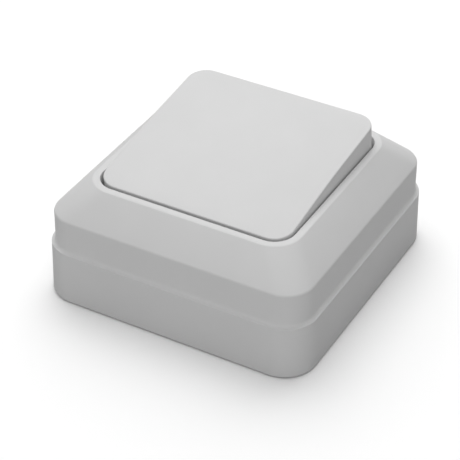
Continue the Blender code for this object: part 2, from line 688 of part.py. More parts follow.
def make_spring(frame):
    """The coil spring between the closed end of the bore and the plunger."""
    low = PLUNGER_TOP + CLEARANCE + SPRING_WIRE
    high = BORE_TOP - CLEARANCE - SPRING_WIRE
    count = SPRING_TURNS * SPRING_STEPS
    curve = bpy.data.curves.new("plunger_spring", "CURVE")
    curve.dimensions = "3D"
    curve.bevel_depth = SPRING_WIRE * MM
    curve.bevel_resolution = SPRING_ROUNDING
    curve.use_fill_caps = True
    spline = curve.splines.new("POLY")
    spline.points.add(count)
    for number in range(count + 1):
        angle = 2 * math.pi * number / SPRING_STEPS
        height = low + (high - low) * number / count
        point = Vector((SPRING_RADIUS * math.cos(angle),
                        SPRING_RADIUS * math.sin(angle), height)) * MM
        spline.points[number].co = (*point, 1.0)
    return finish(link("plunger_spring", curve, frame), PLATED_STEEL)


# Contacts
def make_tip(name, y, face, strip_side, parent=None):
    """A contact rivet: head, shank through its strip, and upset tail.

    face is the strip's face that the head stands on, and strip_side is the
    direction from there into the strip, 1 for up and -1 for down.
    """
    def level(depth):
        """Height at a depth into the strip."""
        return face + strip_side * depth

    tail = STRIP_THICKNESS + SEAT_GAP
    profile = (
        (0.0, level(-TIP_LOW)),
        (TIP_RADIUS, level(-TIP_LOW)),
        (TIP_RADIUS, level(-SEAT_GAP)),
        (TIP_SHANK, level(-SEAT_GAP)),
        (TIP_SHANK, level(tail)),
        (TIP_TAIL_RADIUS, level(tail)),
        (TIP_TAIL_RADIUS, level(tail + TIP_TAIL)),
        (0.0, level(tail + TIP_TAIL)),
    )
    return finish(turned(name, profile, 0.0, y, SMALL_ROUND_STEPS, parent), SILVER)


def tip_hole(name, y, low, high, parent=None):
    """The hole that a contact rivet passes through."""
    return rod(name, TIP_SHANK + CLEARANCE, (0.0, y, low - OVERCUT),
               (0.0, y, high + OVERCUT), SMALL_ROUND_STEPS, parent)


def make_blade(frame):
    """The rocking contact: a flat blade whose ears straddle the knife edge."""
    blade = box("rocking_contact", (-BLADE_HALF_X, -BLADE_HALF_Y, 0.0),
                (BLADE_HALF_X, BLADE_HALF_Y, BLADE_THICKNESS), frame)
    for side in (-1, 1):
        low_x, high_x = sorted((side * STRIP_ROOM, side * BLADE_HALF_X))
        join(blade, box("blade_ear", (low_x, -BLADE_EAR_HALF_Y, -BLADE_EAR_DROP),
                        (high_x, BLADE_EAR_HALF_Y, BLADE_THICKNESS), frame))
    cut(blade, tip_hole("moving_tip_hole", -TIP_Y, 0.0, BLADE_THICKNESS, frame))
    return finish(blade, BRASS)


def make_fixed_strip():
    """The strip from under the moving tip down to the load terminal."""
    half = STRIP_THICKNESS / 2
    inner = -FIXED_LEG_Y + half
    outer = -FIXED_LEG_Y - half
    tail_end = -CAGE_END + TAIL_INSET
    tongue_end = -TIP_Y + TIP_RADIUS + TONGUE_EDGE
    points = [
        (tongue_end, FIXED_STRIP_TOP),
        (outer, FIXED_STRIP_TOP),
        (outer, TAIL_TOP),
        (tail_end, TAIL_TOP),
        (tail_end, TAIL_BOTTOM),
        (inner, TAIL_BOTTOM),
        (inner, FIXED_STRIP_TOP - STRIP_THICKNESS),
        (tongue_end, FIXED_STRIP_TOP - STRIP_THICKNESS),
    ]
    strip = side_profile("fixed_contact_strip", points, -STRIP_HALF_X, STRIP_HALF_X)
    cut(strip, tip_hole("fixed_tip_hole", -TIP_Y, FIXED_STRIP_TOP - STRIP_THICKNESS,
                        FIXED_STRIP_TOP))
    return finish(strip, BRASS)


def make_knife_strip():
    """The knife-edge upright and its tail to the line terminal."""
    half = STRIP_THICKNESS / 2
    edge = FULCRUM_Z - CLEARANCE
    tail_end = CAGE_END - TAIL_INSET
    points = [
        (0.0, edge),
        (-half, edge - STRIP_THICKNESS),
        (-half, TAIL_BOTTOM),
        (tail_end, TAIL_BOTTOM),
        (tail_end, TAIL_TOP),
        (half, TAIL_TOP),
        (half, edge - STRIP_THICKNESS),
    ]
    strip = side_profile("pivot_contact_strip", points, -STRIP_HALF_X, STRIP_HALF_X)
    return finish(strip, BRASS)


# Mechanism
def rivet_hole(name, side, low, high):
    """The clearance hole of one rivet."""
    return rod(name, RIVET_RADIUS + CLEARANCE, (side * RIVET_X, 0.0, low - OVERCUT),
               (side * RIVET_X, 0.0, high + OVERCUT), SMALL_ROUND_STEPS)


def make_housing():
    """The mechanism's lower half: contact chamber, terminal pockets, wings."""
    housing = box("mechanism_housing",
                  (-HOUSING_HALF_X, -HOUSING_HALF_Y, HOUSING_BOTTOM),
                  (HOUSING_HALF_X, HOUSING_HALF_Y, HOUSING_TOP))
    wing_bottom = HOUSING_TOP - WING_THICKNESS
    join(housing, box("wings", (-CAP_HALF_X, -WING_HALF_Y, wing_bottom),
                      (CAP_HALF_X, WING_HALF_Y, HOUSING_TOP)))
    cut(housing, box("chamber", (-CHAMBER_HALF_X, -CHAMBER_HALF_Y, HOUSING_INNER_FLOOR),
                     (CHAMBER_HALF_X, CHAMBER_HALF_Y, HOUSING_TOP + OVERCUT)))
    pocket_x = CAGE_HALF_X + CLEARANCE
    for side in (-1, 1):
        ends = sorted((side * POCKET_START, side * (HOUSING_HALF_Y + OVERCUT)))
        cut(housing, box("terminal_pocket", (-pocket_x, ends[0], HOUSING_INNER_FLOOR),
                         (pocket_x, ends[1], HOUSING_TOP + OVERCUT)))
    post_top = FULCRUM_Z - BLADE_HALF_Y * TILT_SIN - CLEARANCE
    join(housing, box("rest_post",
                      (-REST_POST_HALF_X, REST_POST_Y, HOUSING_INNER_FLOOR - OVERCUT),
                      (REST_POST_HALF_X, REST_POST_Y + REST_POST_LENGTH, post_top)))
    passage = POCKET_START + OVERCUT
    near_end = -CHAMBER_HALF_Y + OVERCUT
    far_start = REST_POST_Y - OVERCUT
    for start, end in ((-passage, near_end), (far_start, passage)):
        cut(housing, box("strip_passage",
                         (-STRIP_ROOM, start, TAIL_BOTTOM - CLEARANCE),
                         (STRIP_ROOM, end, TAIL_TOP + CLEARANCE)))
    for side in (-1, 1):
        cut(housing, rivet_hole("wing_hole", side, wing_bottom, HOUSING_TOP))
    return finish(housing, DARK_PLASTIC)


def make_cap():
    """The mechanism's upper half: plate, tower and the carrier's bearings."""
    cap = box("mechanism_cap", (-CAP_HALF_X, -CAP_HALF_Y, CAP_BOTTOM),
              (CAP_HALF_X, CAP_HALF_Y, CAP_TOP))
    join(cap, box("tower", (-TOWER_HALF_X, -TOWER_HALF_Y, CAP_BOTTOM + CAP_PLATE / 2),
                  (TOWER_HALF_X, TOWER_HALF_Y, TOWER_TOP)))
    cut(cap, box("tower_inside", (-EAR_INNER, -TOWER_INNER_Y, CAP_TOP),
                 (EAR_INNER, TOWER_INNER_Y, TOWER_TOP + OVERCUT)))
    ear = [(-EAR_HALF_Y, TOWER_TOP - OVERCUT), (EAR_HALF_Y, TOWER_TOP - OVERCUT)]
    ear.append((EAR_HALF_Y, TOWER_TOP))
    for step in range(EAR_STEPS + 1):
        angle = math.radians(180 * step / EAR_STEPS)
        ear.append((EAR_ROUND * math.cos(angle), PIVOT_Z + EAR_ROUND * math.sin(angle)))
    ear.append((-EAR_HALF_Y, TOWER_TOP))
    for side in (-1, 1):
        low_x, high_x = sorted((side * EAR_INNER, side * TOWER_HALF_X))
        join(cap, side_profile("ear", ear, low_x, high_x))
        cut(cap, rod("bearing_bore", BEARING_BORE,
                     (side * (EAR_INNER - OVERCUT), 0.0, PIVOT_Z),
                     (side * (TOWER_HALF_X + OVERCUT), 0.0, PIVOT_Z)))
    cut(cap, box("cap_opening", (-CAP_OPENING_X, -CAP_OPENING_Y, CAP_BOTTOM - OVERCUT),
                 (CAP_OPENING_X, CAP_OPENING_Y, CAP_TOP + OVERCUT)))
    for side in (-1, 1):
        cut(cap, rivet_hole("cap_hole", side, CAP_BOTTOM, CAP_TOP))
    return finish(cap, DARK_PLASTIC)


def make_rivet(name, side):
    """A rivet that holds cap, strap and housing together."""
    top = CAP_TOP + SEAT_GAP
    bottom = HOUSING_TOP - WING_THICKNESS - SEAT_GAP
    profile = (
        (0.0, bottom - RIVET_HEAD_HEIGHT),
        (RIVET_HEAD, bottom - RIVET_HEAD_HEIGHT),
        (RIVET_HEAD, bottom),
        (RIVET_RADIUS, bottom),
        (RIVET_RADIUS, top),
        (RIVET_HEAD, top),
        (RIVET_HEAD, top + RIVET_HEAD_HEIGHT),
        (0.0, top + RIVET_HEAD_HEIGHT),
    )
    rivet = turned(name, profile, side * RIVET_X, 0.0, SMALL_ROUND_STEPS)
    return finish(rivet, BRASS)


def make_strap():
    """The steel plate that carries the mechanism on the base's posts."""
    strap = slab("mounting_strap", rounded_outline(STRAP_HALF_X, STRAP_HALF_Y, STRAP_CORNER),
                 STRAP_UNDER, STRAP_TOP)
    cut(strap, box("strap_opening",
                   (-STRAP_OPENING_X, -STRAP_OPENING_Y, STRAP_UNDER - OVERCUT),
                   (STRAP_OPENING_X, STRAP_OPENING_Y, STRAP_TOP + OVERCUT)))
    for side in (-1, 1):
        cut(strap, rod("strap_hole", SCREW_RADIUS + CLEARANCE,
                       (side * STRAP_SCREW_X, 0.0, STRAP_UNDER - OVERCUT),
                       (side * STRAP_SCREW_X, 0.0, STRAP_TOP + OVERCUT),
                       SMALL_ROUND_STEPS))
        cut(strap, rivet_hole("strap_rivet_hole", side, STRAP_UNDER, STRAP_TOP))
    return finish(strap, PLATED_STEEL)


# Terminals
def make_terminal(prefix, side):
    """A cage, its clamp plate and its screw, at one end of the housing."""
    def span(first, last):
        """Order two distances from the middle on this side."""
        return sorted((side * first, side * last))

    low_y, high_y = span(CAGE_START, CAGE_END)
    cage = box(prefix + "_terminal", (-CAGE_HALF_X, low_y, CAGE_BOTTOM),
               (CAGE_HALF_X, high_y, CAGE_TOP))
    cut(cage, box(prefix + "_cage_inside",
                  (-STRIP_ROOM, low_y - OVERCUT, CAGE_BOTTOM + CAGE_WALL),
                  (STRIP_ROOM, high_y + OVERCUT, CAGE_TOP - CAGE_WALL)))
    middle = side * CAGE_MIDDLE
    cut(cage, rod(prefix + "_screw_hole", TERMINAL_SCREW_RADIUS + CLEARANCE,
                  (0.0, middle, CAGE_TOP - CAGE_WALL - OVERCUT),
                  (0.0, middle, CAGE_TOP + OVERCUT), SMALL_ROUND_STEPS))
    finish(cage, BRASS)
    clamp_half = CAGE_LENGTH / 2 - CLAMP_INSET
    clamp_x = STRIP_ROOM - CLEARANCE
    clamp = box(prefix + "_clamp_plate",
                (-clamp_x, middle - clamp_half, CLAMP_TOP - CLAMP_THICKNESS),
                (clamp_x, middle + clamp_half, CLAMP_TOP))
    finish(clamp, PLATED_STEEL)
    screw(prefix + "_terminal_screw", 0.0, middle, CAGE_TOP,
          CAGE_TOP - CLAMP_TOP - CLEARANCE, TERMINAL_SCREW_RADIUS,
          TERMINAL_SCREW_HEAD, TERMINAL_HEAD_HEIGHT)


def main():
    """Build every piece of the switch in its rest pose."""
    clear_scene()
    make_base()
    make_cover()
    make_cover_screw("cover_screw_far", 1)
    make_cover_screw("cover_screw_near", -1)
    rocker = pivot_frame("rocker_axis", PIVOT_Z, TILT)
    make_key(rocker)
    make_carrier(rocker)
    make_plunger(rocker)
    make_spring(rocker)
    blade = pivot_frame("contact_axis", FULCRUM_Z, -TILT)
    make_blade(blade)
    make_tip("moving_contact_tip", -TIP_Y, 0.0, 1, blade)
    make_fixed_strip()
    make_tip("fixed_contact_tip", -TIP_Y, FIXED_STRIP_TOP, -1)
    make_knife_strip()
    make_housing()
    make_cap()
    make_rivet("rivet_right", 1)
    make_rivet("rivet_left", -1)
    make_strap()
    for name, side in (("right", 1), ("left", -1)):
        screw("strap_screw_" + name, side * STRAP_SCREW_X, 0.0, STRAP_TOP,
              STRAP_SCREW_LENGTH, SCREW_RADIUS, SCREW_HEAD_RADIUS, SCREW_HEAD_HEIGHT)
    make_terminal("line", 1)
    make_terminal("load", -1)


main()
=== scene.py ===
"""Looks of a surface-mounted rocker light switch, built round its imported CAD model.

The frame is the CAD's own: the wall face is z = 0, +Z points out of the wall,
X runs along the rocker's pivot and the rocker's -Y edge is the pressed one.
Sizes are in millimetres and become metres when a primitive is added.
"""

import json
import logging
import math
from collections.abc import Callable, Iterator
from contextlib import contextmanager
from dataclasses import dataclass, field
from enum import Enum

import bmesh
import bpy
from mathutils import Matrix, Vector

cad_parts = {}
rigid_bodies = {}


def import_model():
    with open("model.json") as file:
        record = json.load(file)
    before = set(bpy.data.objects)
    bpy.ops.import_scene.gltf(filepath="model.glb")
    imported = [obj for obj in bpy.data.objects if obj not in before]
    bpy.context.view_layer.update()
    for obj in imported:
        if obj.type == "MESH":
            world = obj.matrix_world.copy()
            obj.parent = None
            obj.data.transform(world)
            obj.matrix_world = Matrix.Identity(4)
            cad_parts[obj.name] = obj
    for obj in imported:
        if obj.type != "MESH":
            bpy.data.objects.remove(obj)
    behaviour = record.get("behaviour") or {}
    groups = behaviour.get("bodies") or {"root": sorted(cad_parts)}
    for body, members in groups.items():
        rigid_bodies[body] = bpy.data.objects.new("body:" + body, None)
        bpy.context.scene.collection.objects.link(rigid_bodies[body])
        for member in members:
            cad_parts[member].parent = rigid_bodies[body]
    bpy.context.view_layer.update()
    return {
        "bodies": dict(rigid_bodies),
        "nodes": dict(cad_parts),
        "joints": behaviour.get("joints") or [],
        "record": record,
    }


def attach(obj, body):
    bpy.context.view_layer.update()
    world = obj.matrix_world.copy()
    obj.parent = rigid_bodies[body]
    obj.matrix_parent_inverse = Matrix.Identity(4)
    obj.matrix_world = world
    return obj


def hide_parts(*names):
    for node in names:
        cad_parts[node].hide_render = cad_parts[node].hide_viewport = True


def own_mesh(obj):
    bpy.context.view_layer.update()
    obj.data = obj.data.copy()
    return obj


LOG = logging.getLogger("switch")
MM = 0.001
CLOSE = 0.01                 # mm within which a face or an edge counts as at a place
ROUND_CLOSE = 0.03           # mm within which a point counts as on a rounded corner
FACING = 0.9                 # least part of a normal along an axis that its face looks to
OVERCUT = 1.0                # mm that a cutter runs past the face that it opens
CLEARANCE = 0.3              # mm between pieces that are put together
MERGE = 0.002                # mm within which two vertices become one
SLIVER = 0.001               # mm under which an edge is dissolved
SMOOTH_DEGREES = 32.0        # sharpest fold that is still shaded smooth

Place = tuple[float, float, float]
Square = tuple[float, float]         # half width and corner radius


class Join(Enum):
    """How a tool's shape acts on a piece."""

    CUT = "DIFFERENCE"
    ADD = "UNION"
    KEEP = "INTERSECT"


class Grain(Enum):
    """How a surface was made, which sets its fine relief."""

    MOULDED = "moulded in a spark-eroded tool"
    STAMPED = "rolled sheet, stamped"
    TURNED = "turned or cold headed"
    DRAWN = "drawn wire"


# How far each kind of grain is drawn out along X, Y and Z: less than one is longer
STRETCH = {
    Grain.MOULDED: (1.0, 1.0, 1.0),
    Grain.STAMPED: (1.0, 0.08, 1.0),
    Grain.TURNED: (1.0, 1.0, 0.15),
    Grain.DRAWN: (1.0, 1.0, 0.4),
}


# Colour and materials
def linear(hex_colour: str) -> tuple[float, float, float, float]:
    """Turn an sRGB hex colour into the linear one that a shader takes.

    Args:
        hex_colour: Six hex digits after a hash.

    Returns:
        Linear red, green, blue and an alpha of one.
    """
    channels = [int(hex_colour[start:start + 2], 16) / 255 for start in (1, 3, 5)]
    red, green, blue = (
        value / 12.92 if value <= 0.04045 else ((value + 0.055) / 1.055) ** 2.4
        for value in channels
    )
    return red, green, blue, 1.0


def add_node(tree: bpy.types.NodeTree, kind: str, settings: dict | None = None,
             inputs: dict | None = None) -> bpy.types.Node:
    """Add a shader node with its settings, values and links.

    Args:
        tree: The material's or world's node tree.
        kind: The node's type name.
        settings: Attributes to set on the node.
        inputs: Socket name or number to a value, or to a socket to link from.

    Returns:
        The new node.
    """
    node = tree.nodes.new(kind)
    for name, value in (settings or {}).items():
        setattr(node, name, value)
    for key, value in (inputs or {}).items():
        if isinstance(value, bpy.types.NodeSocket):
            tree.links.new(value, node.inputs[key])
        else:
            node.inputs[key].default_value = value
    return node


@dataclass(frozen=True)
class Finish:
    """One real finish: its colours, its gloss and the relief of its surface."""

    name: str
    light: str
    dark: str
    roughness: float
    grain: Grain
    grain_mm: float
    relief_mm: float
    patch_mm: float = 12.0
    metallic: float = 0.0
    ior: float = 1.5
    uneven: float = 0.04
    tone_from: float = 0.3
    tone_to: float = 0.7

    def material(self) -> bpy.types.Material:
        """Make the node material, patterned in real millimetres."""
        material = bpy.data.materials.new(self.name)
        material.use_nodes = True
        tree = material.node_tree
        shader = tree.nodes["Principled BSDF"]
        shader.inputs["Metallic"].default_value = self.metallic
        shader.inputs["IOR"].default_value = self.ior
        place = add_node(tree, "ShaderNodeTexCoord")
        lined = add_node(tree, "ShaderNodeMapping", inputs={
            "Vector": place.outputs["Object"], "Scale": STRETCH[self.grain]})
        patches = add_node(tree, "ShaderNodeTexNoise", inputs={
            "Vector": place.outputs["Object"], "Scale": 1 / (self.patch_mm * MM),
            "Detail": 3.0, "Roughness": 0.5})
        grain = add_node(tree, "ShaderNodeTexNoise", inputs={
            "Vector": lined.outputs["Vector"], "Scale": 1 / (self.grain_mm * MM),
            "Detail": 2.0, "Roughness": 0.55})
        tone = add_node(tree, "ShaderNodeValToRGB", inputs={
            "Fac": patches.outputs["Fac"]})
        ends = ((self.tone_from, self.dark), (self.tone_to, self.light))
        for element, (position, colour) in zip(tone.color_ramp.elements, ends):
            element.position = position
            element.color = linear(colour)
        rough = add_node(tree, "ShaderNodeMapRange", inputs={
            "Value": grain.outputs["Fac"],
            "To Min": self.roughness - self.uneven, "To Max": self.roughness + self.uneven})
        bump = add_node(tree, "ShaderNodeBump", inputs={
            "Height": grain.outputs["Fac"], "Strength": 1.0,
            "Distance": self.relief_mm * MM})
        tree.links.new(tone.outputs["Color"], shader.inputs["Base Color"])
        tree.links.new(rough.outputs["Result"], shader.inputs["Roughness"])
        tree.links.new(bump.outputs["Normal"], shader.inputs["Normal"])
        return material


# Injection-moulded light grey ABS from a spark-eroded tool: an even satin
# surface with soft, wide highlights and hardly any change of tone. The grain is
# really about 0.1 mm and is drawn at 0.35 mm, because a finer one doesn't show.
LIGHT_ABS = Finish("moulded_light_grey_abs", "#CCCCCC", "#CACACA", 0.62, Grain.MOULDED,
                   grain_mm=0.35, relief_mm=0.004)
# Glass-filled nylon, moulded: glossier than the cover, with a coarser skin.
NYLON = Finish("moulded_grey_nylon", "#B9B9BB", "#AFAFB1", 0.5, Grain.MOULDED,
               grain_mm=0.4, relief_mm=0.01, uneven=0.06)
# Compression-moulded phenolic: nearly black, with a slight shine on its skin.
PHENOLIC = Finish("moulded_black_phenolic", "#2C2B2D", "#232224", 0.38, Grain.MOULDED,
                  grain_mm=0.5, relief_mm=0.008, patch_mm=6.0, uneven=0.08)
# Zinc-plated mild steel: a bluish bright metal, clouded by its passivation.
ZINC = Finish("zinc_plated_steel", "#C9CCD0", "#AEB2B8", 0.3, Grain.STAMPED,
              grain_mm=0.3, relief_mm=0.004, patch_mm=4.0, metallic=1.0, uneven=0.1)
# The same plating on a turned screw, whose marks run round it.
ZINC_TURNED = Finish("zinc_plated_screw", "#CFD1D4", "#B4B7BC", 0.26, Grain.TURNED,
                     grain_mm=0.2, relief_mm=0.003, patch_mm=2.0, metallic=1.0, uneven=0.08)
# Rolled brass strip: warm yellow metal with fine rolling lines and dull spots.
BRASS = Finish("rolled_brass", "#D9B36A", "#C49A50", 0.28, Grain.STAMPED,
               grain_mm=0.25, relief_mm=0.004, patch_mm=3.0, metallic=1.0, uneven=0.08)
# Fine silver contact face: the brightest metal, slightly matt from lapping.
SILVER = Finish("fine_silver", "#E9E7E2", "#D8D5CE", 0.24, Grain.TURNED,
                grain_mm=0.15, relief_mm=0.002, patch_mm=1.0, metallic=1.0, uneven=0.06)
# Drawn music wire: dark bright steel with fine drawing marks.
SPRING_WIRE = Finish("music_wire", "#9C9EA2", "#808287", 0.22, Grain.DRAWN,
                     grain_mm=0.1, relief_mm=0.002, patch_mm=1.0, metallic=1.0, uneven=0.06)


# Modelling by hand
def deselect() -> None:
    """Leave edit mode and select nothing."""
    if bpy.context.object and bpy.context.object.mode != "OBJECT":
        bpy.ops.object.mode_set(mode="OBJECT")
    bpy.ops.object.select_all(action="DESELECT")


def activate(obj: bpy.types.Object) -> None:
    """Select one object alone and make it the active one."""
    deselect()
    obj.select_set(True)
    bpy.context.view_layer.objects.active = obj


def settle(obj: bpy.types.Object) -> bpy.types.Object:
    """Put an object's place, turn and scale into its mesh."""
    activate(obj)
    bpy.ops.object.transform_apply(location=True, rotation=True, scale=True)
    return obj


def block(name: str, low: Place, high: Place) -> bpy.types.Object:
    """Add a cube primitive at its size and place.

    Args:
        name: The object's name.
        low: Lowest corner in millimetres.
        high: Highest corner in millimetres.

    Returns:
        The block, with its place in its mesh.
    """
    deselect()
    middle = [(first + last) / 2 * MM for first, last in zip(low, high)]
    size = [(last - first) * MM for first, last in zip(low, high)]
    bpy.ops.mesh.primitive_cube_add(size=1.0, location=middle, scale=size)
    obj = bpy.context.object
    obj.name = name
    return settle(obj)


def rod(name: str, radius: float, low: float, high: float, x: float = 0.0,
        y: float = 0.0, sides: int = 48, top_radius: float | None = None) -> bpy.types.Object:
    """Add an upright cylinder or cone at its size and place.

    Args:
        name: The object's name.
        radius: Radius at the lower end in millimetres.
        low: Height of the lower end.
        high: Height of the upper end.
        x: Place of its axis along X.
        y: Place of its axis along Y.
        sides: Number of sides.
        top_radius: Radius at the upper end, or None for a straight rod.

    Returns:
        The rod, with its place in its mesh.
    """
    deselect()
    upper = radius if top_radius is None else top_radius
    bpy.ops.mesh.primitive_cone_add(
        vertices=sides, radius1=radius * MM, radius2=upper * MM, depth=(high - low) * MM,
        location=(x * MM, y * MM, (low + high) / 2 * MM))
    obj = bpy.context.object
    obj.name = name
    return settle(obj)


@contextmanager
def editing(obj: bpy.types.Object) -> Iterator[None]:
    """Open one object in edit mode for the length of a block."""
    activate(obj)
    bpy.ops.object.mode_set(mode="EDIT")
    yield
    bpy.ops.object.mode_set(mode="OBJECT")


def pick(obj: bpy.types.Object, kind: str, test: Callable[..., bool]) -> None:
    """Select only the elements of a mesh that pass a test.

    Args:
        obj: The object, open in edit mode.
        kind: "FACE", "EDGE" or "VERT".
        test: Takes one such element and tells whether it is wanted.
    """
    bpy.ops.mesh.select_mode(type=kind)
    bpy.ops.mesh.select_all(action="DESELECT")
    mesh = bmesh.from_edit_mesh(obj.data)
    for element in {"FACE": mesh.faces, "EDGE": mesh.edges, "VERT": mesh.verts}[kind]:
        if test(element):
            element.select_set(True)
    if kind == "VERT":
        mesh.select_flush_mode()
    bmesh.update_edit_mesh(obj.data)


def pick_faces(obj: bpy.types.Object, test: Callable[[Vector, Vector], bool]) -> None:
    """Select only the faces whose middle (mm) and normal pass a test."""
    pick(obj, "FACE", lambda face: test(face.calc_center_median() / MM, face.normal))


def pick_edges(obj: bpy.types.Object, test: Callable[[Vector, Vector], bool]) -> None:
    """Select only the edges whose two ends (mm) pass a test."""
    pick(obj, "EDGE", lambda edge: test(edge.verts[0].co / MM, edge.verts[1].co / MM))


def pick_points(obj: bpy.types.Object, test: Callable[[Vector], bool]) -> None:
    """Select only the vertices whose place (mm) passes a test."""
    pick(obj, "VERT", lambda point: test(point.co / MM))


def pick_top(obj: bpy.types.Object, height: float) -> None:
    """Select only the upward faces at one height (mm)."""
    pick_faces(obj, lambda middle, normal: normal.z > FACING
               and abs(middle.z - height) < CLOSE)


def level(height: float) -> Callable[[Vector, Vector], bool]:
    """A test for edges that lie at one height."""
    return lambda start, end: abs(start.z - height) < CLOSE and abs(end.z - height) < CLOSE


def soften(obj: bpy.types.Object, test: Callable[[Vector, Vector], bool], width: float,
           segments: int) -> None:
    """Round the picked edges of a piece with the bevel operator."""
    with editing(obj):
        pick_edges(obj, test)
        bpy.ops.mesh.bevel(offset=width * MM, segments=segments, affect="EDGES",
                           offset_type="OFFSET", clamp_overlap=False)


def rounded_block(name: str, half: tuple[float, float], low: float, high: float,
                  corner: float, segments: int = 14) -> bpy.types.Object:
    """Add a block about the Z axis and round its four upright edges.

    Args:
        name: The object's name.
        half: Half width and half depth in millimetres.
        low: Height of its lower face.
        high: Height of its upper face.
        corner: Radius of the upright edges.
        segments: Steps in each round.

    Returns:
        The rounded block.
    """
    obj = block(name, (-half[0], -half[1], low), (half[0], half[1], high))
    soften(obj, lambda start, end: abs(start.z - end.z) > CLOSE, corner, segments)
    return obj


def square_block(name: str, size: Square, low: float, high: float) -> bpy.types.Object:
    """Add a rounded block on a square, given by its half width and corner radius."""
    return rounded_block(name, (size[0], size[0]), low, high, size[1])


def inward(size: Square, distance: float) -> Square:
    """The square whose sides lie some distance inside another's."""
    return size[0] - distance, size[1] - distance


def grow_up(obj: bpy.types.Object, top: float, steps: list[tuple[float, float]]) -> float:
    """Carry a block's top face upward by insets, each one moving in and up.

    Args:
        obj: The block.
        top: Height of its top face in millimetres.
        steps: For each inset, the distance in and the distance up.

    Returns:
        The height of the last top face.
    """
    with editing(obj):
        for sideways, upward in steps:
            pick_top(obj, top)
            bpy.ops.mesh.inset(thickness=sideways * MM, depth=upward * MM,
                               use_even_offset=True)
            top += upward
    return top


def draw_up(obj: bpy.types.Object, top: float, new_top: float, size: Square,
            new_size: Square) -> None:
    """Extrude a block's top face upward and give it another size and corner.

    Args:
        obj: The block, rounded about the Z axis.
        top: Height of its top face in millimetres.
        new_top: Height that the face goes up to.
        size: Half width and corner radius of the face now.
        new_size: Half width and corner radius that it gets.
    """
    rise = new_top - top
    centre, new_centre = size[0] - size[1], new_size[0] - new_size[1]
    spread = new_size[1] / size[1]
    shift = (new_centre - centre) * MM
    with editing(obj):
        pick_top(obj, top)
        bpy.ops.mesh.extrude_region_move(
            TRANSFORM_OT_translate={"value": (0.0, 0.0, rise * MM)})
        for across in (-1, 1):
            for along in (-1, 1):
                pick_points(obj, lambda point: abs(point.z - new_top) < CLOSE
                            and point.x * across > 0 and point.y * along > 0)
                bpy.ops.transform.resize(
                    value=(spread, spread, 1.0),
                    center_override=(across * centre * MM, along * centre * MM,
                                     new_top * MM))
                bpy.ops.transform.translate(value=(across * shift, along * shift, 0.0))


def apply_tool(target: bpy.types.Object, tool: bpy.types.Object, how: Join) -> None:
    """Join, cut or intersect a piece with a tool, which is then removed."""
    activate(target)
    modifier = target.modifiers.new(tool.name, "BOOLEAN")
    modifier.operation = how.value
    modifier.solver = "EXACT"
    modifier.object = tool
    bpy.ops.object.modifier_apply(modifier=modifier.name)
    bpy.data.objects.remove(tool)


def tidy_mesh(obj: bpy.types.Object) -> None:
    """Merge doubles, point the faces outward and smooth the soft edges."""
    with editing(obj):
        bpy.ops.mesh.select_all(action="SELECT")
        bpy.ops.mesh.remove_doubles(threshold=MERGE * MM)
        bpy.ops.mesh.dissolve_degenerate(threshold=SLIVER * MM)
        bpy.ops.mesh.select_all(action="SELECT")
        bpy.ops.mesh.normals_make_consistent(inside=False)
    activate(obj)
    bpy.ops.object.shade_smooth_by_angle(angle=math.radians(SMOOTH_DEGREES))


def report(obj: bpy.types.Object) -> None:
    """Log a piece's faces and volume, and the edges that two faces don't share."""
    mesh = bmesh.new()
    mesh.from_mesh(obj.data)
    loose = sum(1 for edge in mesh.edges if len(edge.link_faces) != 2)
    LOG.info("%s: %d faces, %d open edges, volume %.1f mm3", obj.name, len(mesh.faces),
             loose, mesh.calc_volume(signed=True) / MM ** 3)
    mesh.free()


def fit_piece(obj: bpy.types.Object, body: str, node: str,
              material: bpy.types.Material) -> None:
    """Dress a finished piece and let it stand for its CAD node on a body."""
    tidy_mesh(obj)
    obj.data.materials.clear()
    obj.data.materials.append(material)
    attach(obj, body)
    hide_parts(node)
    report(obj)


